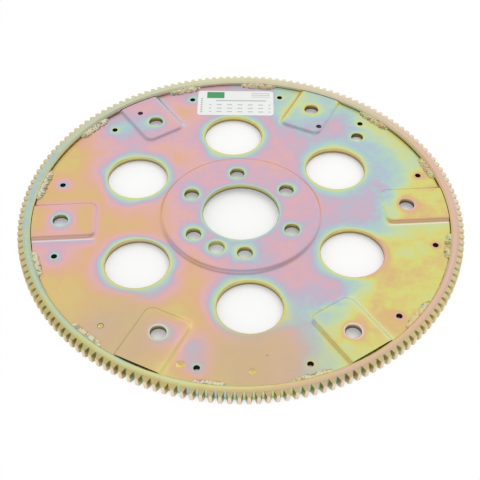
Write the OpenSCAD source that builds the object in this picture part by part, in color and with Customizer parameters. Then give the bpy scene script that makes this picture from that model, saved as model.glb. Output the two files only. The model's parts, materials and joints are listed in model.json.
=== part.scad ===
// Flexplate: a stamped steel disc that carries a starter ring gear.
// The crankshaft axis is Z, and Z = 0 is the lower face of the ring gear.

/* [Ring gear] */
// Number of starter teeth
teeth = 168; // [160:1:176]
// Pitch diameter divided by the number of teeth
tooth_module = 2.117; // [2.05:0.001:2.25]
// Pressure angle of the involute flanks
pressure_angle = 20; // [14.5:0.5:25]
// Tooth height above the pitch circle
addendum = 1.6; // [1.2:0.1:2.2]
// Tooth depth below the pitch circle
dedendum = 2.7; // [2.2:0.1:3.4]
// Radial wall between the tooth roots and the ring's bore
ring_wall = 5.8; // [4:0.1:8]
// Thickness of the ring along its axis
ring_t = 9.5; // [8:0.1:13]
// Lead-in on the upper tooth ends, measured down at the tips
tooth_lead = 1.1; // [0.3:0.1:2]
// Bevel on the upper edge of the ring's bore
bore_bevel = 1.4; // [0.2:0.1:1.4]
// Small bevel on the ring's lower edges
ring_bevel = 0.7; // [0.2:0.1:1]

/* [Flex disc] */
// Thickness of the disc's sheet
disc_t = 4.8; // [3:0.1:6]
// Radial gap between the disc's edge and the ring's bore
ring_gap = 0.5; // [0.4:0.1:2]
// How far the disc's upper face lies below the ring's
disc_drop = 3.8; // [3.5:0.1:4.7]
// Bevel left by the punch round each large hole
hole_bevel = 0.5; // [0.2:0.1:0.8]

/* [Hub] */
// Radius at the foot of the raised hub
hub_r = 67.8; // [60:0.1:70]
// Height of the hub above the disc
hub_lift = 2.4; // [1:0.1:3.5]
// Width of the curved step round the hub
hub_run = 5.6; // [2:0.1:8]
// Diameter of the crankshaft pilot bore
pilot_d = 62.2; // [50:0.1:68]
// Diameter of the crankshaft bolt circle
crank_circle_d = 90.93; // [85:0.01:100]
// Number of crankshaft bolts
crank_bolts = 6; // [5:1:8]
// Diameter of each crankshaft bolt hole
crank_hole_d = 11.9; // [9:0.1:14]
// Diameter of the crankshaft dowel hole
dowel_hole_d = 12.4; // [8:0.1:14]
// Radius at which the dowel hole lies
dowel_r = 43.8; // [43:0.1:46]

/* [Converter pads] */
// Number of raised pads
pads = 6; // [6:2:6]
// Width of a pad at its foot
pad_w = 42.2; // [34:0.1:46]
// Radius at which the foot of a pad begins
pad_in_r = 115; // [108:0.5:118]
// Height of a pad above the disc
pad_lift = 2; // [1:0.1:3]
// Width of the curved step round a pad
pad_run = 4.8; // [3:0.1:6]
// Corner radius on the flat top of a pad
pad_corner_r = 4; // [1:0.5:8]
// Diameter of the wide converter bolt circle
wide_circle_d = 292.1; // [286:0.1:300]
// Diameter of the narrow converter bolt circle
narrow_circle_d = 273.05; // [268:0.05:280]
// Diameter of each converter bolt hole
converter_hole_d = 12; // [9:0.1:14]

/* [Lightening holes] */
// Number of lightening holes
windows = 6; // [6:1:6]
// Diameter of the circle that the lightening holes lie on
window_circle_d = 194.6; // [190:0.1:200]
// Diameter of each lightening hole
window_d = 50.2; // [40:0.1:54]

/* [Small holes] */
// Number of small holes along the rim
rim_holes = 12; // [6:1:16]
// Diameter of each rim hole
rim_hole_d = 4.6; // [3:0.1:6]
// Distance from the disc's edge to the rim holes' circle
rim_hole_inset = 13.6; // [11:0.1:16]
// Angle of the first rim hole
rim_hole_start = 13.6; // [0:0.1:30]
// Sideways offset of the rim holes' circle
rim_shift_x = 2.2; // [-3:0.1:3]
// Offset of the rim holes' circle towards the rear
rim_shift_y = -1.3; // [-3:0.1:3]
// Diameter of the two gauge holes in the pads
gauge_hole_d = 4.8; // [3:0.1:6]
// Radius at which the gauge hole nearer the rim lies
outer_gauge_r = 154.3; // [150:0.1:158]
// Radius at which the gauge hole nearer the hub lies
inner_gauge_r = 127.8; // [124:0.1:132]
// Diameter of the single locating hole
locating_hole_d = 10; // [6:0.1:12]
// Radius at which the locating hole lies
locating_r = 140.4; // [134:0.1:146]
// Diameter of the larger balancing mark
balance_mark_d = 7; // [4:0.1:8]
// Radius at which the balancing marks lie
balance_mark_r = 155.8; // [150:0.1:160]
// Diameter of the centre punch mark
punch_mark_d = 1.8; // [1:0.1:3]
// Radius at which the centre punch mark lies
punch_mark_r = 143; // [138:0.1:148]
// Included angle of the drill that made the marks
drill_angle = 118; // [90:1:140]

/* [Weld beads] */
// Width of a bead on the disc
weld_leg = 3.9; // [2:0.1:4.5]
// Height of a bead on the ring's wall
weld_rise = 2.4; // [1.5:0.1:2.4]
// Depth of a bead in the gap between disc and ring
weld_root = 1.5; // [0.5:0.1:2.5]
// Angle from one ripple of a bead to the next
ripple_step = 0.9; // [0.6:0.1:2]
// Share of its size that a bead loses in the hollow of each ripple
ripple_depth = 0.09; // [0.02:0.01:0.2]
// Share of its section that a bead loses at its ends
weld_taper = 0.8; // [0.3:0.05:0.9]
// How suddenly a bead tapers off at its ends
weld_bluntness = 4; // [2:1:8]

/* [Label] */
// Width of the label
label_w = 69.5; // [50:0.5:72]
// Height of the label
label_h = 35.2; // [25:0.1:36]
// Thickness of the label's sheet
label_t = 0.2; // [0.1:0.05:0.4]
// Corner radius of the label
label_corner_r = 3; // [1:0.5:6]
// Distance from the disc's edge to the label's middle
label_inset = 26.6; // [26:0.1:27.4]
// Angle at which the label's middle lies
label_angle = 88; // [86:0.1:92]
// Turn of the label about its own middle
label_turn = -4.5; // [-6:0.1:6]

/* [Hidden] */
$fn = 96;
CURVE_STEPS = 4;
CUT_OVER = 1;
SEAT = 0.01;

pitch_r = teeth * tooth_module / 2;
tip_r = pitch_r + addendum;
root_r = pitch_r - dedendum;
ring_in_r = root_r - ring_wall;
disc_r = ring_in_r - ring_gap;
disc_top = ring_t - disc_drop;
hub_top = disc_top + hub_lift;
pad_top = disc_top + pad_lift;
pad_pitch = 360 / pads;
pad_edge_x = sqrt(disc_r * disc_r - pad_w * pad_w / 4);
cut_low = disc_top - disc_t - CUT_OVER;
cut_high = ring_t + CUT_OVER;
rim_circle_r = disc_r - rim_hole_inset;

// Angles of the single holes and marks
OUTER_GAUGE_ANGLE = 122.2;
INNER_GAUGE_ANGLE = 53.1;
LOCATING_ANGLE = 38.9;
DOWEL_ANGLE = 240;
PUNCH_MARK_ANGLE = 273.6;
// Balancing marks, each as its angle and its share of the full diameter
BALANCE_MARKS = [[250.2, 1], [269, 0.75]];
// Pads whose outer edge was drawn in to a straight chord, counted from the +X axis
DRAWN_PADS = [4, 5];
// The rim hole that was only spotted and not drilled through
SPOTTED_RIM_HOLE = 7;

// Hand-laid welds, each as its middle angle and its length in degrees
WELDS = [
    [15, 9], [40.5, 11], [80.5, 11], [104, 10], [137, 11], [165, 12],
    [195.5, 9], [224, 10.5], [258.5, 9], [283.5, 11], [317.5, 11], [343.9, 9]
];

function polar(r, a) = [r * cos(a), r * sin(a)];

// Angle in degrees between an involute's start and the pressure angle a
function involute(a) = tan(a) * 180 / PI - a;

// Half the angle that one tooth fills at radius r
function half_tooth(r) =
    90 / teeth + involute(pressure_angle)
    - involute(acos(pitch_r * cos(pressure_angle) / r));

// Step of two equal tangent arcs, from [0, 0] to [run, rise]
function ogee(run, rise) =
    let (
        bend_r = (run * run + rise * rise) / (4 * rise),
        sweep = 2 * atan(rise / run)
    )
    [for (i = [0:2 * CURVE_STEPS])
        let (a = sweep * (i <= CURVE_STEPS ? i : 2 * CURVE_STEPS - i) / CURVE_STEPS)
        i <= CURVE_STEPS
            ? [bend_r * sin(a), bend_r * (1 - cos(a))]
            : [run - bend_r * sin(a), rise - bend_r * (1 - cos(a))]];

function reversed(list) = [for (i = [len(list) - 1:-1:0]) list[i]];

module at_polar(r, angle) {
    rotate([0, 0, angle]) translate([r, 0, 0]) children();
}

module ring_of(count, r, start) {
    for (i = [0:count - 1]) at_polar(r, start + 360 * i / count) children();
}

// Hole of diameter d through the whole pressing
module drilled(d) {
    translate([0, 0, cut_low]) cylinder(d = d, h = cut_high - cut_low);
}

// Hole bevelled on both faces of the sheet, whose upper face there is at top
module punched(d, top) {
    upper_h = cut_high - top + hole_bevel;
    lower_h = top - disc_t + hole_bevel - cut_low;
    drilled(d);
    translate([0, 0, cut_high - upper_h]) cylinder(d1 = d, d2 = d + 2 * upper_h, h = upper_h);
    translate([0, 0, cut_low]) cylinder(d1 = d + 2 * lower_h, d2 = d, h = lower_h);
}

// Conical mark left by the tip of a drill
module drill_mark(d) {
    depth = d / 2 / tan(drill_angle / 2);
    reach = (depth + CUT_OVER) / depth;
    translate([0, 0, disc_top - depth])
        cylinder(d1 = 0, d2 = d * reach, h = depth * reach);
}

// Raised pad on the +X axis, with its curved steps; base is the depth below its foot
module pad_form(base) {
    step = ogee(pad_run, pad_lift);
    foot_corner_r = pad_corner_r + pad_run;
    half_w = pad_w / 2;
    start_x = pad_in_r + foot_corner_r;
    side = concat([[0, -base]], step);
    across = concat(
        [for (p = side) [p[0] - half_w, p[1]]],
        [for (p = reversed(side)) [half_w - p[0], p[1]]]
    );
    end_l = foot_corner_r + CUT_OVER;
    inward = concat(side, [[end_l, pad_lift], [end_l, -base]]);
    corner = [for (p = concat(side, [[foot_corner_r, pad_lift], [foot_corner_r, -base]]))
        [foot_corner_r - p[0], p[1]]];
    translate([start_x, 0, 0])
        rotate([90, 0, 90]) linear_extrude(tip_r - start_x) polygon(across);
    translate([pad_in_r, half_w - foot_corner_r, 0])
        rotate([90, 0, 0]) linear_extrude(pad_w - 2 * foot_corner_r) polygon(inward);
    for (s = [0, 1])
        mirror([0, s, 0])
            translate([start_x, half_w - foot_corner_r, 0])
                rotate([0, 0, 90]) rotate_extrude(angle = 90) polygon(corner);
}

// Section of the disc and its raised hub, from the pilot bore to the rim
module disc_section() {
    step = [for (p = reversed(ogee(hub_run, hub_lift))) [hub_r - p[0], disc_top + p[1]]];
    pilot_r = pilot_d / 2;
    upper = concat([[pilot_r + hole_bevel, hub_top]], step, [[disc_r, disc_top]]);
    lower = [for (p = reversed(upper)) [p[0], p[1] - disc_t]];
    bore = [[pilot_r, hub_top - disc_t + hole_bevel], [pilot_r, hub_top - hole_bevel]];
    polygon(concat(upper, lower, bore));
}

module disc_holes() {
    ring_of(crank_bolts, crank_circle_d / 2, 90) punched(crank_hole_d, hub_top);
    at_polar(dowel_r, DOWEL_ANGLE) punched(dowel_hole_d, hub_top);
    ring_of(windows, window_circle_d / 2, pad_pitch / 2) punched(window_d, disc_top);
    ring_of(pads / 2, narrow_circle_d / 2, 0) punched(converter_hole_d, pad_top);
    ring_of(pads / 2, wide_circle_d / 2, pad_pitch) punched(converter_hole_d, pad_top);
    at_polar(locating_r, LOCATING_ANGLE) punched(locating_hole_d, disc_top);
    at_polar(outer_gauge_r, OUTER_GAUGE_ANGLE) drilled(gauge_hole_d);
    at_polar(inner_gauge_r, INNER_GAUGE_ANGLE) drilled(gauge_hole_d);
    for (i = [0:rim_holes - 1])
        translate([rim_shift_x, rim_shift_y, 0])
            at_polar(rim_circle_r, rim_hole_start + 360 * i / rim_holes)
                if (i == SPOTTED_RIM_HOLE) drill_mark(rim_hole_d);
                else drilled(rim_hole_d);
    for (mark = BALANCE_MARKS) at_polar(balance_mark_r, mark[0]) drill_mark(balance_mark_d * mark[1]);
    at_polar(punch_mark_r, PUNCH_MARK_ANGLE) drill_mark(punch_mark_d);
}

// Room outside the straight outer edge of a drawn-in pad on the +X axis
module pad_edge_cut() {
    wide = pad_w + 2 * CUT_OVER;
    translate([pad_edge_x, -wide / 2, -CUT_OVER])
        cube([tip_r - pad_edge_x, wide, ring_t + 2 * CUT_OVER]);
}

module flex_disc() {
    color("#d9b3a6") difference() {
        union() {
            rotate_extrude() disc_section();
            intersection() {
                ring_of(pads, 0, 0) translate([0, 0, disc_top]) pad_form(disc_t / 2);
                cylinder(r = disc_r, h = ring_t);
            }
        }
        ring_of(pads, 0, 0) translate([0, 0, disc_top - disc_t]) pad_form(CUT_OVER);
        for (i = DRAWN_PADS) rotate([0, 0, i * pad_pitch]) pad_edge_cut();
        disc_holes();
    }
}

module gear_outline() {
    radii = [root_r, pitch_r, tip_r];
    polygon([for (i = [0:teeth - 1], side = [-1, 1], r = side < 0 ? radii : reversed(radii))
        polar(r, 360 * i / teeth + side * half_tooth(r))]);
}

// Section of the ring gear's blank, with its bevels and the lead-in for the starter
module ring_section() {
    lead_slope = tooth_lead / (tip_r - root_r);
    outer_r = tip_r + CUT_OVER;
    polygon([
        [ring_in_r, ring_bevel],
        [ring_in_r + ring_bevel, 0],
        [tip_r - ring_bevel, 0],
        [outer_r, ring_bevel + CUT_OVER],
        [outer_r, ring_t - lead_slope * (outer_r - root_r)],
        [root_r, ring_t],
        [ring_in_r + bore_bevel, ring_t],
        [ring_in_r, ring_t - bore_bevel]
    ]);
}

module ring_gear() {
    color("#cfcfa4") intersection() {
        linear_extrude(ring_t) gear_outline();
        rotate_extrude() ring_section();
    }
}

module label() {
    inner_w = label_w - 2 * label_corner_r;
    inner_h = label_h - 2 * label_corner_r;
    color("#f6f6f4") rotate([0, 0, label_angle - 90])
        translate([0, disc_r - label_inset, disc_top]) rotate([0, 0, label_turn + 90 - label_angle])
            linear_extrude(label_t) {
                square([label_w, inner_h], center = true);
                square([inner_w, label_h], center = true);
                for (sx = [-1, 1], sy = [-1, 1])
                    translate([sx * inner_w / 2, sy * inner_h / 2]) circle(r = label_corner_r);
            }
}

// Outline of a weld at a share of its full size, in the corner of disc and ring, at angle a
function weld_outline(size, a) =
    let (
        wide = ring_in_r - disc_r + weld_leg * size,
        crown = [for (i = [0:CURVE_STEPS])
            let (t = 90 * i / CURVE_STEPS)
            [ring_in_r - wide * cos(t), disc_top + weld_rise * size * sin(t)]],
        root = [
            [ring_in_r, disc_top - weld_root],
            [disc_r + SEAT, disc_top - weld_root],
            [disc_r + SEAT, disc_top]
        ]
    )
    [for (p = concat(crown, root)) concat(polar(p[0], a), p[1])];

// One bead: outlines swept round the axis, swelling from both ends and rippled along the way
module weld_bead(i) {
    middle = WELDS[i - 1][0];
    length = WELDS[i - 1][1];
    half = round(length / ripple_step);
    outlines = [for (k = [-half:half])
        let (swell = sqrt(1 - weld_taper * pow(abs(k) / half, weld_bluntness)))
        let (size = swell - ripple_depth * abs(k % 2))
        weld_outline(size, middle + k / half * length / 2)];
    m = len(outlines[0]);
    last = (len(outlines) - 1) * m;
    sides = [for (k = [0:m:last - m], j = [0:m - 1])
        let (n = (j + 1) % m)
        each [[k + n, k + j, k + m + j], [k + n, k + m + j, k + m + n]]];
    ends = [[for (j = [0:m - 1]) j], [for (j = [m - 1:-1:0]) last + j]];
    color("#c9c2ae") polyhedron([for (o = outlines) each o], concat(ends, sides));
}

flex_disc();
ring_gear();
label();
for (i = [1:len(WELDS)])
    weld_bead(i);
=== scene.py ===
"""Looks of a flexplate: rainbow zinc plating, hand-laid welds, a film label and a white studio."""
import json
import math
from functools import reduce

import bpy
import numpy as np
from mathutils import Matrix, Vector


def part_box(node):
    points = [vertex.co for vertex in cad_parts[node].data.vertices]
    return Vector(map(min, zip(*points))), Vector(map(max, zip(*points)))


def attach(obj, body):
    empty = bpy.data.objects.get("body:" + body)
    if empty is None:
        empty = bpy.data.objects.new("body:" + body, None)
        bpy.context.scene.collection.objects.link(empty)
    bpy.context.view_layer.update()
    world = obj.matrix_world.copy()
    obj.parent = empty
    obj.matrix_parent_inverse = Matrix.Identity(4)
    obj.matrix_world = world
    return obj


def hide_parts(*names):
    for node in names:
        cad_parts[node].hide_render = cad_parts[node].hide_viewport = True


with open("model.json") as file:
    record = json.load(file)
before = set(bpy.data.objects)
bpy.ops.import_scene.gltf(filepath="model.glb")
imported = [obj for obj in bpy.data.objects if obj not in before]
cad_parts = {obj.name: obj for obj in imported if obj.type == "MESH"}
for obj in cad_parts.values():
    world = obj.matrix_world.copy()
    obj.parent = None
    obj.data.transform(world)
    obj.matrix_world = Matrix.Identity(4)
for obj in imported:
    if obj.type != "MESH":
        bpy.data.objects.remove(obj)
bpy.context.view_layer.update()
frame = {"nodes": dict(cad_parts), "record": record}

MM = 0.001
RNG = np.random.default_rng(41)


def node_points(name):
    """Corners of a solid's mesh in millimetres, as rows of x, y and z."""
    mesh = frame["nodes"][name].data
    flat = np.zeros(3 * len(mesh.vertices), np.float32)
    mesh.vertices.foreach_get("co", flat)
    return flat.reshape(-1, 3).astype(float) / MM


# Sizes in millimetres, read from the solids and their mounts
MOUNTS = {mount["name"]: mount["dims"] for mount in frame["record"]["mounts"]}
OPENINGS = {gap["name"]: np.array(gap["box_m"]) / MM for gap in frame["record"]["physics"]["openings"]}
RING_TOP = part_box("ring_gear")[1].z / MM
TIP_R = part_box("ring_gear")[1].x / MM
RING_IN_R = float(np.hypot(*node_points("ring_gear").T[:2]).min())
DISC_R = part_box("flex_disc")[1].y / MM
DISC_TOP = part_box("label")[0].z / MM
PILOT_R = MOUNTS["pilot_bore"]["r_mm"]
CRANK_R = MOUNTS["crank_bolts"]["pcd_mm"] / 2
CRANK_HOLE_R = MOUNTS["crank_bolts"]["hole_r_mm"]
WIDE_R = MOUNTS["converter_bolts_wide"]["pcd_mm"] / 2
NARROW_R = MOUNTS["converter_bolts_narrow"]["pcd_mm"] / 2
CONVERTER_HOLE_R = MOUNTS["converter_bolts_wide"]["hole_r_mm"]
WINDOW_CIRCLE_R = float(np.hypot(*OPENINGS["lightening_hole_1"].mean(axis=0)[:2]))

# Sizes in millimetres and turns in degrees that the frame doesn't state
WINDOW_R = 25.1
RIM_CIRCLE_R = 155.2
RIM_HOLE_R = 2.3
RIM_START = 13.6
RIM_SHIFT = (2.2, -1.3)
DOWEL_SPOT = (-21.9, -37.9)
LOCATING_SPOT = (109.3, 88.2)
LOCATING_R = 5.0
DRILL_MARKS = [(-52.8, -146.6, 3.5), (-2.7, -155.8, 2.6), (-110.2, -108.3, 2.3)]
PAD_HALF_W = 18.7
PAD_IN_R = 117.4
PAD_CORNER_R = 6.4
HUB_STEP_R = 65.0
BORE_BEVEL = 1.4
STAMPED_LIFT = 2.2
BEYOND_WINDOWS_R = 125.0
ROOT_R = 175.1
LABEL_TURN = 4.5

# Where the photograph was taken from, in degrees and millimetres
CAMERA_AZIMUTH = -4.19
CAMERA_ELEVATION = 47.06
CAMERA_ROLL = -0.37
CAMERA_DISTANCE = 730.8
CAMERA_AIM = (-2.8, -29.7, 5.7)
LENS = 69.1
SENSOR = 36.0


def linear(r, g, b):
    """Screen colour from 0 to 255 as the linear colour that shows as it."""
    share = np.array([r, g, b]) / 255
    return tuple(np.where(share <= 0.04045, share / 12.92, ((share + 0.055) / 1.055) ** 2.4)) + (1.0,)


class Wire:
    """An output socket that can stand in a Python expression; each operation adds a Math node."""

    def __init__(self, sheet, socket):
        self.sheet = sheet
        self.socket = socket

    def math(self, operation, *others):
        return self.sheet.math(operation, self, *others)

    def __add__(self, other):
        return self.math("ADD", other)

    def __sub__(self, other):
        return self.math("SUBTRACT", other)

    def __rsub__(self, other):
        return self.sheet.math("SUBTRACT", other, self)

    def __mul__(self, other):
        return self.math("MULTIPLY", other)

    def __truediv__(self, other):
        return self.math("DIVIDE", other)

    def __pow__(self, other):
        return self.math("POWER", other)

    def __neg__(self):
        return self * -1

    __radd__ = __add__
    __rmul__ = __mul__

    def atleast(self, other):
        return self.math("MAXIMUM", other)

    def atmost(self, other):
        return self.math("MINIMUM", other)

    def size(self):
        return self.math("ABSOLUTE")

    def smooth(self, low, high):
        """0 below low, 1 above high, and a soft step between."""
        return self.sheet.node("MapRange", {"interpolation_type": "SMOOTHSTEP"}, {0: self, 1: low, 2: high})


class Sheet:
    """A material's node tree, with its object coordinates in millimetres."""

    def __init__(self, tree):
        self.tree = tree
        tree.nodes.clear()

    def node(self, kind, settings=None, inputs=None, out=0):
        """Adds a node: first its settings, then the values or links of its sockets."""
        made = self.tree.nodes.new("ShaderNode" + kind)
        for key, value in (settings or {}).items():
            if key == "stops":
                ramp = made.color_ramp
                for _ in range(len(value) - len(ramp.elements)):
                    ramp.elements.new(0.5)
                for element, (place, colour) in zip(ramp.elements, value):
                    element.position = place
                    element.color = colour
            else:
                setattr(made, key, value)
        for key, value in (inputs or {}).items():
            if isinstance(value, Wire):
                self.tree.links.new(value.socket, made.inputs[key])
            else:
                made.inputs[key].default_value = value
        return Wire(self, made.outputs[out]) if len(made.outputs) else None

    def math(self, operation, *values):
        return self.node("Math", {"operation": operation}, dict(enumerate(values)))

    def place(self):
        """The object coordinates as a vector, and its parts in millimetres."""
        spot = self.node("TexCoord", out="Object")
        x, y, z = (self.node("SeparateXYZ", inputs={0: spot}, out=k) / MM for k in range(3))
        return spot, x, y, z

    def noise(self, spot, cell, detail=2.0, rough=0.5):
        """Cloudy noise about 0, with cells of the given size in millimetres."""
        return self.node("TexNoise", {}, {"Vector": spot, "Scale": 1 / (cell * MM), "Detail": detail,
                                          "Roughness": rough}) - 0.5

    def blend(self, share, first, second):
        return self.node("Mix", {"data_type": "RGBA"}, {0: share, 6: first, 7: second}, out=2)

    def scale(self, colour, share):
        """A colour made brighter or darker all round."""
        grey = self.node("CombineColor", inputs={0: share, 1: share, 2: share})
        settings = {"data_type": "RGBA", "blend_type": "MULTIPLY"}
        return self.node("Mix", settings, {0: 1.0, 6: colour, 7: grey}, out=2)

    def bump(self, height, depth, strength):
        """Fine relief, where a rise of 1 in height stands for the depth in millimetres."""
        return self.node("Bump", {}, {"Strength": strength, "Distance": depth * MM, "Height": height})

    def surface(self, **sockets):
        named = {key.replace("_", " "): value for key, value in sockets.items()}
        shader = self.node("BsdfPrincipled", {}, named)
        self.node("OutputMaterial", {}, {"Surface": shader})


def material(name):
    """A new material and its empty sheet."""
    made = bpy.data.materials.new(name)
    made.use_nodes = True
    return made, Sheet(made.node_tree)


# Film colours of the plating in the order that they follow each other as the film grows thicker
FILM_COLOURS = [
    (0.00, linear(223, 188, 132)),
    (0.12, linear(228, 181, 152)),
    (0.26, linear(228, 181, 178)),
    (0.38, linear(217, 178, 193)),
    (0.47, linear(196, 185, 203)),
    (0.56, linear(178, 203, 209)),
    (0.66, linear(186, 213, 195)),
    (0.77, linear(204, 220, 170)),
    (0.89, linear(220, 216, 127)),
    (1.00, linear(223, 188, 132)),
]

# Stains on the disc where the film is thicker or thinner: x, y and reach in millimetres, and by how much
FILM_STAINS = [
    (38, -104, 24, 0.17), (92, -127, 22, 0.16), (2, -46, 18, 0.12), (135, 2, 15, 0.30),
    (148, 27, 15, 0.22), (92, 108, 19, -0.20), (46, 124, 12, 0.18), (-46, 127, 18, -0.26),
    (-60, 72, 20, -0.26), (-96, 112, 16, 0.26), (-92, 17, 14, 0.17), (-148, -34, 22, 0.36),
    (-74, -78, 20, 0.36), (-44, -133, 17, 0.55),
]

# Places at the front where the film is worn thin: x, y and reach in millimetres
THIN_PLACES = [(4, -148, 36), (-98, -119, 33)]

# Thicker film round each kind of hole: its reach in millimetres and its strength
HALOS = {
    "window": (4.8, 1.0), "crank": (3.0, 0.9), "dowel": (3.0, 0.9), "bore": (2.2, 0.8),
    "narrow": (3.6, 0.8), "wide": (3.6, 0.8), "locating": (2.4, 0.8), "rim": (2.4, 0.7),
}
BOLT_HOLES = ["crank", "dowel", "bore", "narrow", "wide", "locating"]

# Tones of the disc beside its film colours; the white is a painted highlight, and the low wall tones and
# the rim-hole wall tone are painted shade
THIN_ZINC = linear(213, 188, 152)
# painted highlight: the white laid along the pad steps and round the front bolt holes
HIGHLIGHT_WHITE = linear(250, 247, 242)
WINDOW_WALL = linear(230, 216, 156)
# painted shade at the bottom of the window walls
WINDOW_WALL_SHADE = linear(132, 108, 68)
BOLT_WALL = linear(206, 192, 134)
# painted shade at the bottom of the bolt-hole walls
BOLT_WALL_SHADE = linear(78, 66, 40)
# painted shade: the dark walls of the rim holes
RIM_HOLE_SHADE = linear(86, 70, 44)
DRILLED = linear(246, 222, 146)

# Tones of the ring beside its film colours; the bevel tone and the tone of the front tooth tips are painted
# highlights, and the tooth-foot olive is painted shade
RING_PALE = linear(216, 215, 189)
# painted highlight on the bevel at the back
BEVEL_HIGHLIGHT = linear(246, 238, 216)
# painted shade on the flat at the foot of the teeth, at the front
TOOTH_FOOT_SHADE = linear(178, 172, 128)
WORN_FRONT = linear(222, 206, 148)
WORN_BACK = linear(238, 222, 192)
WORN_LEFT = linear(221, 193, 135)
# painted highlight on the tooth tips at the front
TIP_HIGHLIGHT = linear(240, 218, 204)

# Tones of the welds and of the label
WELD_SILVER = linear(224, 218, 206)
WELD_GOLD = linear(224, 204, 160)
PAPER = linear(234, 236, 233)
PRINT_GREY = linear(110, 116, 116)
PRINT_GREEN = linear(58, 150, 92)


def film_colour(sheet, film):
    """Colour of the plating's film, whose thickness is counted in whole turns of the colours."""
    return sheet.node("ValToRGB", {"stops": FILM_COLOURS}, {0: film.math("FRACT")})


class Plate:
    """The plate's geometry as shader expressions on a piece's object coordinates in millimetres."""

    def __init__(self, sheet, x, y):
        self.sheet = sheet
        self.x = x
        self.y = y
        self.r = (x * x + y * y) ** 0.5
        self.angle = y.math("ARCTAN2", x)

    def toward(self, direction):
        """Distance from the middle of the plate along a direction."""
        turn = math.radians(direction)
        return self.x * math.cos(turn) + self.y * math.sin(turn)

    def wash(self, direction, low, high):
        """Soft step across the plate: rises along the direction from low to high."""
        return self.toward(direction).smooth(low, high)

    def patch(self, x, y, reach):
        """Round soft patch, 1 in its middle."""
        away = (self.x - x) ** 2 + (self.y - y) ** 2
        return (away * (-1 / reach ** 2)).math("EXPONENT")

    def spot_edge(self, spot, hole_r):
        """Distance from the edge of a single hole."""
        return ((self.x - spot[0]) ** 2 + (self.y - spot[1]) ** 2) ** 0.5 - hole_r

    def folded(self, count, start):
        """Coordinates along and across the nearest of equal rays; the first ray starts at an angle."""
        half = math.pi / count
        turn = (self.angle - math.radians(start)).math("WRAP", half, -half)
        return self.r * turn.math("COSINE"), self.r * turn.math("SINE")

    def hole_edge(self, ray, circle_r, hole_r):
        """Distance from the edge of the nearest hole on a ray."""
        along, across = ray
        return ((along - circle_r) ** 2 + across ** 2) ** 0.5 - hole_r

    def pad_edge(self, along, across):
        """Distance from the middle of a pad's step, round at its corners; negative on the pad."""
        wide = across.size() - (PAD_HALF_W - PAD_CORNER_R)
        inward = PAD_IN_R + PAD_CORNER_R - along
        corner = (wide.atleast(0) ** 2 + inward.atleast(0) ** 2) ** 0.5
        return corner + wide.atleast(inward).atmost(0) - PAD_CORNER_R


def halo(distance, reach):
    """1 at an edge, fading with the distance from it."""
    return (distance.atleast(0) * (-1 / reach)).math("EXPONENT")


class PadSteps:
    """Steps round the pads: the distance from them, and shares from 0 to 1 of the sides that stand out,
    some of which carry painted highlights.
    """

    def __init__(self, plate):
        along, across = plate.folded(6, 0)
        self.distance = plate.pad_edge(along, across).size()
        self.one_side = across.smooth(0, 12)
        on_pads = (plate.r - PAD_IN_R).smooth(0, 5)
        near = plate.toward(-90) - PAD_HALF_W
        self.shoulder = on_pads * halo((near + 0.6).size(), 1.3)
        # share of a painted highlight line along the foot of the near steps
        self.foot_highlight = on_pads * halo((near - 2.3).size(), 0.5)
        self.foot = on_pads * near.smooth(1, 3) * halo(near - 3, 6.0)
        # edges facing the back right: a film change and a painted highlight
        self.pale = on_pads * halo((plate.toward(30) - PAD_HALF_W).size(), 1.8)
        self.warm = on_pads * halo((plate.toward(150) - PAD_HALF_W).size(), 1.4) * plate.wash(90, 0, 40)


def hole_edges(plate):
    """Distance from the edge of the nearest hole of each kind."""
    sixth = plate.folded(6, 30)
    rim = Plate(plate.sheet, plate.x - RIM_SHIFT[0], plate.y - RIM_SHIFT[1])
    return {
        "window": plate.hole_edge(sixth, WINDOW_CIRCLE_R, WINDOW_R),
        "crank": plate.hole_edge(sixth, CRANK_R, CRANK_HOLE_R),
        "dowel": plate.spot_edge(DOWEL_SPOT, CRANK_HOLE_R),
        "bore": plate.r - PILOT_R,
        "narrow": plate.hole_edge(plate.folded(3, 0), NARROW_R, CONVERTER_HOLE_R),
        "wide": plate.hole_edge(plate.folded(3, 60), WIDE_R, CONVERTER_HOLE_R),
        "locating": plate.spot_edge(LOCATING_SPOT, LOCATING_R),
        "rim": rim.hole_edge(rim.folded(12, RIM_START), RIM_CIRCLE_R, RIM_HOLE_R),
    }


def open_film(sheet, spot, plate):
    """Film of the open plate: it grows from the left to the right, with stains and clouds."""
    right = plate.wash(-36, 91, 135)
    film = 0.34 - 0.42 * plate.wash(212, 20, 100) + 0.13 * plate.wash(10, 45, 100) + 0.44 * right
    film = film + (0.20 * plate.wash(50, 85, 165) + 0.16 * plate.wash(25, 138, 162)) * (1 - right)
    film = sum((share * plate.patch(px, py, reach) for px, py, reach, share in FILM_STAINS), film)
    film = film + 0.30 * sheet.noise(spot, 40, 3.0, 0.5) + 0.28 * sheet.noise(spot, 10, 5.0, 0.65)
    return film.atleast(-0.03)


def step_film(plate, steps, film):
    """Film with its change along the steps of pads and hub, and the share of a painted bright highlight on
    one side of the front pads' steps.
    """
    thick = film.smooth(0.42, 0.70)
    front = plate.wash(-90, 40, 90) * (1 - thick)
    to_right = plate.wash(0, -20, 20)
    bend = 0.43 + 0.55 * thick - 0.53 * front
    film = film + 0.85 * halo(steps.distance, 3.0) * (bend - film)
    film = film + 0.9 * steps.pale * (0.66 - film) + 0.9 * steps.warm * (1.08 - film)
    above = 0.85 * steps.shoulder * (0.02 + 1.15 * to_right - film)
    below = 0.9 * steps.foot * (0.54 + 0.21 * to_right - film)
    film = film + above + below
    film = film - 0.8 * halo((plate.r - HUB_STEP_R).size(), 2.0) * plate.wash(90, -25, 15) * film
    # painted highlight along one side of the front pads' steps
    crest_highlight = front * halo(steps.distance, 2.0) * steps.one_side
    return film, crest_highlight


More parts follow.
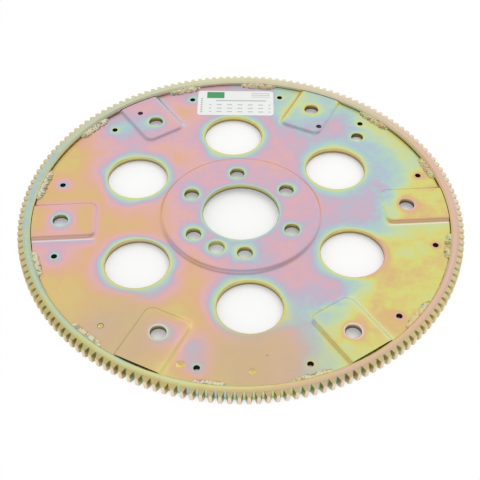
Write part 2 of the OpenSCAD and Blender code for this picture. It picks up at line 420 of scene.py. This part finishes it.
def edge_film(sheet, spot, plate, edges, film):
    """Film that grows thicker towards the holes, and further out on the left than on the right."""
    uneven = (1 + 0.0024 * plate.x + 0.0012 * plate.y + 3.0 * sheet.noise(spot, 34, 1.0)).atleast(0.55)
    glows = [share * halo(edges[kind] * uneven, reach) for kind, (reach, share) in HALOS.items()]
    return film + reduce(Wire.atleast, glows) * (0.95 - film).atleast(0.42)


def disc_walls(sheet, plate, z, edges, film, colour):
    """Colour with the walls of the holes, with painted shade that darkens them downwards and makes the rim
    holes' walls dark, and with the drill marks.
    """
    lifted = (HUB_STEP_R + 1 - plate.r).smooth(0, 1).atleast((plate.r - BEYOND_WINDOWS_R).smooth(0, 1))
    # share of painted shade, growing down the hole walls
    low = (DISC_TOP - 0.9 + STAMPED_LIFT * lifted - z).smooth(0, 2.6)
    window_wall = (0.3 - edges["window"]).smooth(0, 0.25)
    window_tone = sheet.blend(0.5, film_colour(sheet, film + 0.5), WINDOW_WALL)
    colour = sheet.blend(0.8 * window_wall, colour, sheet.blend(low, window_tone, WINDOW_WALL_SHADE))
    bolt_wall = (0.3 - reduce(Wire.atmost, [edges[kind] for kind in BOLT_HOLES])).smooth(0, 0.25)
    colour = sheet.blend(0.8 * bolt_wall, colour, sheet.blend(low, BOLT_WALL, BOLT_WALL_SHADE))
    # painted shade: the rim holes' walls made dark
    colour = sheet.blend((0.3 - edges["rim"]).smooth(0, 0.3), colour, RIM_HOLE_SHADE)
    marks = [mark_r - plate.spot_edge((mx, my), 0) for mx, my, mark_r in DRILL_MARKS]
    return sheet.blend(reduce(Wire.atleast, marks).smooth(0, 0.5), colour, DRILLED)


def disc_plating():
    """Zinc plating of the disc: film colours, painted highlights along the pads and round the front bolt
    holes, and hole walls with painted shade.
    """
    made, sheet = material("disc_plating")
    spot, x, y, z = sheet.place()
    plate = Plate(sheet, x, y)
    steps = PadSteps(plate)
    edges = hole_edges(plate)
    flat = open_film(sheet, spot, plate)
    film, crest_highlight = step_film(plate, steps, flat)
    film = edge_film(sheet, spot, plate, edges, film)
    thin = sum((1.3 * plate.patch(*place)).atmost(1) for place in THIN_PLACES).atmost(0.85)
    colour = sheet.blend(thin, film_colour(sheet, film), THIN_ZINC)
    # painted highlight: a white ring round the front converter bolt holes
    bolt_rim_highlight = halo((edges["narrow"].atmost(edges["wide"]) - 0.5).size(), 0.6) * plate.wash(-90, -20, 40)
    # painted highlights: white lines at the foot of the front pads' steps, along the pad edges facing the
    # back right, and round the front bolt holes
    painted_highlight = (0.85 * steps.foot_highlight).atleast(0.35 * steps.pale).atleast(0.7 * bolt_rim_highlight)
    colour = sheet.blend(painted_highlight, colour, HIGHLIGHT_WHITE)
    colour = disc_walls(sheet, plate, z, edges, flat, colour)
    grain = sheet.noise(spot, 1.1, 4.0, 0.6)
    # beside the grain, the painted highlight on the front pads' steps brightens the colour here
    colour = sheet.scale(colour, 1 + 0.10 * grain + 0.3 * crest_highlight)
    rough = 0.34 + 0.12 * sheet.noise(spot, 8, 3.0) + 0.10 * thin
    sheet.surface(Base_Color=colour, Metallic=1.0, Roughness=rough, Normal=sheet.bump(grain, 0.02, 0.35))
    return made


def ring_flat(sheet, spot, plate, side, back):
    """Colour of the ring's flat: film colours, paler at the back, with a painted highlight on the far bevel
    and painted olive shade at the foot of the teeth at the front.
    """
    bevel = (RING_IN_R + BORE_BEVEL - plate.r).smooth(-0.1, 0.3)
    outer = plate.r.smooth(ROOT_R - 4.5, ROOT_R - 1.0) * (plate.toward(-112) / plate.r).smooth(0.3, 0.85)
    film = 0.92 + (0.30 - 0.20 * bevel) * side + 0.16 * outer - 0.08 * (-back).smooth(0.6, 1.0)
    film = film + 0.40 * sheet.noise(spot, 30, 4.0, 0.55) + 0.25 * sheet.noise(spot, 6, 3.0)
    far = back.smooth(0.2, 0.9)
    colour = sheet.blend(0.2 + 0.5 * far, film_colour(sheet, film), RING_PALE)
    # painted highlight on the far bevel
    colour = sheet.blend(0.5 * bevel * far, colour, BEVEL_HIGHLIGHT)
    # painted olive shade where the flat meets the teeth at the front
    foot = plate.r.smooth(ROOT_R - 2.2, ROOT_R - 1.0) * (1 - far) * (0.2 - back).smooth(0, 0.5)
    return sheet.blend(0.35 * foot, colour, TOOTH_FOOT_SHADE)


def ring_teeth(sheet, spot, plate, z, side, back, tooth, left, colour):
    """Colour with the teeth: worn tops, painted shade in the gaps with bright lands between them, and a
    painted highlight on the front tips.
    """
    worn = sheet.blend(back.smooth(-0.5, 0.1), WORN_FRONT, WORN_BACK)
    worn = sheet.blend(side.smooth(-0.9, 0.1), WORN_LEFT, worn)
    colour = sheet.blend(0.7 * tooth, colour, worn)
    # painted shade in the gaps between the teeth, darker still on the left
    gap = tooth * (TIP_R - 0.2 - plate.r).smooth(0, 0.8) * (RING_TOP - 1.2 - z).smooth(0, 0.6)
    shade = sheet.scale(film_colour(sheet, 0.86 + sheet.noise(spot, 9, 2.0)), 0.6 - 0.18 * left)
    colour = sheet.blend(0.8 * gap, colour, shade)
    land = (plate.r - ROOT_R + 0.3).smooth(0, 0.2) * (ROOT_R + 0.7 - plate.r).smooth(0, 0.3)
    land = land * (RING_TOP - 0.6 - z).smooth(0, 0.4)
    colour = sheet.blend(0.9 * land, colour, film_colour(sheet, 0.76 + 1.2 * sheet.noise(spot, 22, 2.0)))
    # painted highlight on the front tooth tips
    tip_highlight = (plate.r - TIP_R + 0.9).smooth(0, 0.5) * (-back).smooth(0.5, 0.9)
    return sheet.blend(0.7 * tip_highlight, colour, TIP_HIGHLIGHT)


def ring_plating():
    """Zinc plating of the ring gear: its film grows from the left to the right and out to the teeth, and
    its flat carries painted shade on the left.
    """
    made, sheet = material("ring_plating")
    spot, x, y, z = sheet.place()
    plate = Plate(sheet, x, y)
    side = plate.toward(-8) / plate.r
    back = y / plate.r
    left = (-side).smooth(0.1, 0.8)
    tooth = plate.r.smooth(ROOT_R - 0.6, ROOT_R + 1.2)
    colour = ring_flat(sheet, spot, plate, side, back)
    colour = ring_teeth(sheet, spot, plate, z, side, back, tooth, left, colour)
    grain = sheet.noise(spot, 0.9, 4.0, 0.6)
    # painted shade: the flat made darker on the left
    colour = sheet.scale(colour, 1 + 0.10 * grain - 0.09 * left * (1 - tooth))
    rough = 0.34 + 0.14 * sheet.noise(spot, 5, 3.0)
    sheet.surface(Base_Color=colour, Metallic=1.0, Roughness=rough, Normal=sheet.bump(grain, 0.02, 0.35))
    return made


def weld_plating():
    """Plated weld metal: pale silver and gold, blotchy, with darker patches at random."""
    made, sheet = material("weld_plating")
    spot, x = sheet.place()[:2]
    film = 0.92 + 1.4 * sheet.noise(spot, 6.0, 2.0)
    metal = sheet.blend(x.smooth(-60, 120), WELD_SILVER, WELD_GOLD)
    colour = sheet.blend(0.6, film_colour(sheet, film), metal)
    colour = sheet.scale(colour, 1 - 0.4 * sheet.noise(spot, 4.0, 1.0).smooth(0.03, 0.16))
    rough = 0.24 + 0.2 * sheet.noise(spot, 2.5, 2.0)
    sheet.surface(Base_Color=colour, Metallic=1.0, Roughness=rough,
                  Normal=sheet.bump(sheet.noise(spot, 1.2, 2.0), 0.05, 0.3))
    return made


def bar(u, v, cx, cy, w, h):
    """1 inside a plain bar with its middle, width and height in millimetres, with soft edges."""
    inside = (0.5 * w - (u - cx).size()).smooth(-0.15, 0.15)
    return inside * (0.5 * h - (v - cy).size()).smooth(-0.15, 0.15)


def label_film():
    """White film with a plain green block and rows of grey dashes, laid out about its middle."""
    made, sheet = material("label_film")
    spot, x, y = sheet.place()[:3]
    low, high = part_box("label")
    middle = (low + high) / 2 / MM
    turn = math.radians(LABEL_TURN)
    dx = x - middle.x
    dy = y - middle.y
    u = dx * math.cos(turn) - dy * math.sin(turn)
    v = dx * math.sin(turn) + dy * math.cos(turn)
    column = (u - 4.0).math("WRAP", 4.75, -4.75)
    row = (v + 7.6).math("WRAP", 2.5, -2.5)
    table = bar(column, row, 0, 0, 4.6, 1.2) * bar(u, v, 4.0, -7.6, 56, 15)
    dash = v.math("WRAP", 1.6, -1.6)
    strip = bar(u, dash, -31.2, 0, 1.6, 2.2) * bar(u, v, -31.2, -4, 3, 22)
    line = (v - 11.6).math("WRAP", 1.3, -1.3)
    lines = bar(u, line, 23, 0, 17, 0.8) * bar(u, v, 23, 11.6, 18, 7.6)
    heading = bar(u, v, 5, 3.4, 46, 1.5)
    print_share = (table + strip + lines + heading).atmost(1)
    green = bar(u, v, -18.5, 11.4, 16, 9)
    paper = sheet.scale(PAPER, 1 + 0.03 * sheet.noise(spot, 2.0, 3.0))
    colour = sheet.blend(0.55 * print_share, paper, PRINT_GREY)
    colour = sheet.blend(green, colour, PRINT_GREEN)
    sheet.surface(Base_Color=colour, Metallic=0.0, Roughness=0.45 + 0.1 * sheet.noise(spot, 6, 2.0))
    return made


def dress(name, finish):
    """Gives a solid its finish."""
    slots = frame["nodes"][name].data.materials
    slots.clear()
    slots.append(finish)


def ribbon_mesh(name, rings):
    """Closed tube through rings of points, rings by points by 3, with a flat cap on each end."""
    count, sides = rings.shape[:2]
    first = np.arange((count - 1) * sides).reshape(count - 1, sides)
    beside = np.roll(first, -1, axis=1)
    quads = np.stack([first, first + sides, beside + sides, beside], axis=-1).reshape(-1, 4)
    caps = [np.arange(sides).tolist(), (np.arange(sides)[::-1] + (count - 1) * sides).tolist()]
    mesh = bpy.data.meshes.new(name)
    mesh.from_pydata((rings.reshape(-1, 3) * MM).tolist(), [], quads.tolist() + caps)
    mesh.shade_smooth()
    mesh.update()
    return mesh


def add_piece(name, mesh, finish):
    """Adds a mesh with its finish and slot as a piece that rides on the part."""
    piece = bpy.data.objects.new(name, mesh)
    bpy.context.scene.collection.objects.link(piece)
    mesh.materials.append(finish)
    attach(piece, "root")
    return piece


# Weld beads: sizes in millimetres, and the number of points across the rounded side
WELD_LEG = 4.0
WELD_RISE = 2.45
WELD_DEPTH = 1.4
RIPPLE_PITCH = 2.8
WELD_SEGMENT = 0.22
WELD_POINTS = 19
SUNK_IN = 0.1


def weld_rings(start, end):
    """Bead swept round the axis between two angles, in radians.

    Its section is a quarter of an ellipse in the corner of disc and ring. The ellipse swells quickly from
    both ends, wanders in slow waves, and is ridged by ripples that bend back at the toes.
    """
    length = (end - start) * DISC_R
    along = np.linspace(0, 1, int(length / WELD_SEGMENT))[:, None]
    across = np.linspace(0, 1, WELD_POINTS)[None, :]
    swell = np.sqrt(np.clip(1 - 0.86 * np.abs(2 * along - 1) ** 5, 0, 1))
    waves = sum(RNG.uniform(0.02, 0.05) * np.sin(2 * math.pi * (k * 1.3 * along + RNG.uniform()))
                for k in range(1, 6))
    lumps = sum(RNG.uniform(0.01, 0.025) * np.sin(2 * math.pi * (k * along + across + RNG.uniform()))
                for k in range(3, 9))
    bend = 0.9 * (2 * across - 1) ** 2
    ripple = 0.07 * np.cos(2 * math.pi * (along * length / RIPPLE_PITCH + bend))
    size = swell * (1 + waves + lumps + ripple)
    arc = across * math.pi / 2
    r = RING_IN_R + SUNK_IN - (RING_IN_R - DISC_R + WELD_LEG) * size * np.cos(arc)
    z = DISC_TOP - SUNK_IN / 2 + WELD_RISE * size * np.sin(arc)
    root = np.full_like(along, DISC_TOP - WELD_DEPTH)
    ring_side = np.full_like(along, RING_IN_R + SUNK_IN)
    disc_side = np.full_like(along, DISC_R - SUNK_IN)
    r = np.concatenate([r, ring_side, disc_side], axis=1)
    z = np.concatenate([z, root, root], axis=1)
    angle = start + (end - start) * along
    return np.stack([r * np.cos(angle), r * np.sin(angle), z], axis=-1)


def node_angles(name):
    """First and last angle about the axis that a solid reaches."""
    x, y = node_points(name).T[:2]
    middle = math.atan2(y.mean(), x.mean())
    angle = (np.arctan2(y, x) - middle + math.pi) % (2 * math.pi) - math.pi
    return middle + angle.min(), middle + angle.max()


def add_welds(finish):
    """Puts a rippled bead in the place of each plain one."""
    for name in sorted(n for n in frame["nodes"] if n.startswith("weld_bead")):
        mesh = ribbon_mesh(name + "_rippled", weld_rings(*node_angles(name)))
        piece = add_piece(name + "_rippled", mesh, finish)
        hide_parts(name)


def add_camera():
    """Camera where the photograph was taken from."""
    azimuth = math.radians(CAMERA_AZIMUTH)
    elevation = math.radians(CAMERA_ELEVATION)
    ahead = Vector((-math.sin(azimuth) * math.cos(elevation), math.cos(azimuth) * math.cos(elevation),
                    -math.sin(elevation)))
    right = ahead.cross(Vector((0, 0, 1))).normalized()
    up = right.cross(ahead)
    turn = Matrix.Rotation(math.radians(CAMERA_ROLL), 3, ahead)
    right, up = turn @ right, turn @ up
    camera = bpy.data.objects.new("camera", bpy.data.cameras.new("camera"))
    bpy.context.scene.collection.objects.link(camera)
    axes = Matrix((right, up, -ahead)).transposed().to_4x4()
    camera.matrix_world = Matrix.Translation((Vector(CAMERA_AIM) - ahead * CAMERA_DISTANCE) * MM) @ axes
    camera.data.sensor_width = SENSOR
    camera.data.lens = LENS
    bpy.context.scene.camera = camera


# Floor and lamp in metres and watts; the glows and the ceiling's light are shares of white
FLOOR_HALF = 3.0
FLOOR_WHITE = (0.97, 0.97, 0.97, 1.0)
FLOOR_GLOW = 0.97
FLOOR_GLOW_UNDER = 0.3
LAMP_PLACE = (0.55, 0.3, 1.6)
LAMP_SIZE = 1.6
LAMP_POWER = 8.8
CEILING = 0.5


def add_floor():
    """White floor, which shows as the white background round the object and keeps its shadow beneath it."""
    half = FLOOR_HALF
    mesh = bpy.data.meshes.new("floor")
    corners = [(-half, -half, 0), (half, -half, 0), (half, half, 0), (-half, half, 0)]
    mesh.from_pydata(corners, [], [(0, 1, 2, 3)])
    floor = bpy.data.objects.new("floor", mesh)
    bpy.context.scene.collection.objects.link(floor)
    made, sheet = material("white_floor")
    spot, x, y = sheet.place()[:3]
    colour = sheet.scale(FLOOR_WHITE, 1 + 0.01 * sheet.noise(spot, 60))
    plain = sheet.node("BsdfPrincipled", {}, {"Base Color": colour, "Roughness": 0.8})
    white = sheet.node("Emission", {}, {"Strength": 1.0})
    outside = ((x * x + y * y) ** 0.5).smooth(ROOT_R - 4, TIP_R + 1)
    seen = sheet.node("LightPath", out="Is Camera Ray")
    mirrored = sheet.node("LightPath", out="Is Glossy Ray")
    shown = FLOOR_GLOW_UNDER + (FLOOR_GLOW - FLOOR_GLOW_UNDER) * outside
    glow = seen * shown + mirrored * FLOOR_GLOW * outside
    shader = sheet.node("MixShader", {}, {0: glow, 1: plain, 2: white})
    sheet.node("OutputMaterial", {}, {"Surface": shader})
    mesh.materials.append(made)


def add_light():
    """White room with a dim ceiling and a dim wall to the right, and a large soft lamp overhead.

    A row of windows runs from the left to behind the camera. The lamp lights what is not metal.
    """
    world = bpy.data.worlds.new("studio")
    bpy.context.scene.world = world
    world.use_nodes = True
    sheet = Sheet(world.node_tree)
    toward = sheet.node("TexCoord", out="Generated")
    x, y, z = (sheet.node("SeparateXYZ", inputs={0: toward}, out=k) for k in range(3))
    ceiling = CEILING + (1 - CEILING) * y.smooth(-0.3, 0.45)
    ceiling = ceiling * (1 - 0.35 * (-x).smooth(0.26, 0.5) * (0.6 - y).smooth(0, 0.2))
    walls = 1 - 0.45 * x.smooth(0.45, 0.8) * (0.5 - y).smooth(0, 0.2)
    height = z + 0.35 * y
    level = walls + (ceiling - walls) * height.smooth(0.25, 0.45)
    window = height.smooth(0.45, 0.53) * (0.72 - height).smooth(0, 0.09)
    window = window * (0.45 - x).smooth(0, 0.2) * (0.3 - y).smooth(0, 0.2)
    level = level + (1 - level) * window
    seen = sheet.node("LightPath", out="Is Camera Ray")
    level = level * (1 - seen) + seen
    shader = sheet.node("Background", {}, {"Color": (1, 1, 1, 1), "Strength": level})
    sheet.node("OutputWorld", {}, {"Surface": shader})
    data = bpy.data.lights.new("soft_lamp", "AREA")
    data.shape = "DISK"
    data.size = LAMP_SIZE
    data.energy = LAMP_POWER
    lamp = bpy.data.objects.new("soft_lamp", data)
    bpy.context.scene.collection.objects.link(lamp)
    lamp.location = LAMP_PLACE
    lamp.visible_glossy = False
    lamp.rotation_euler = (-Vector(LAMP_PLACE)).to_track_quat("-Z", "Y").to_euler()


bpy.context.scene.view_settings.view_transform = "Standard"
add_camera()
add_floor()
add_light()
dress("flex_disc", disc_plating())
dress("ring_gear", ring_plating())
dress("label", label_film())
add_welds(weld_plating())
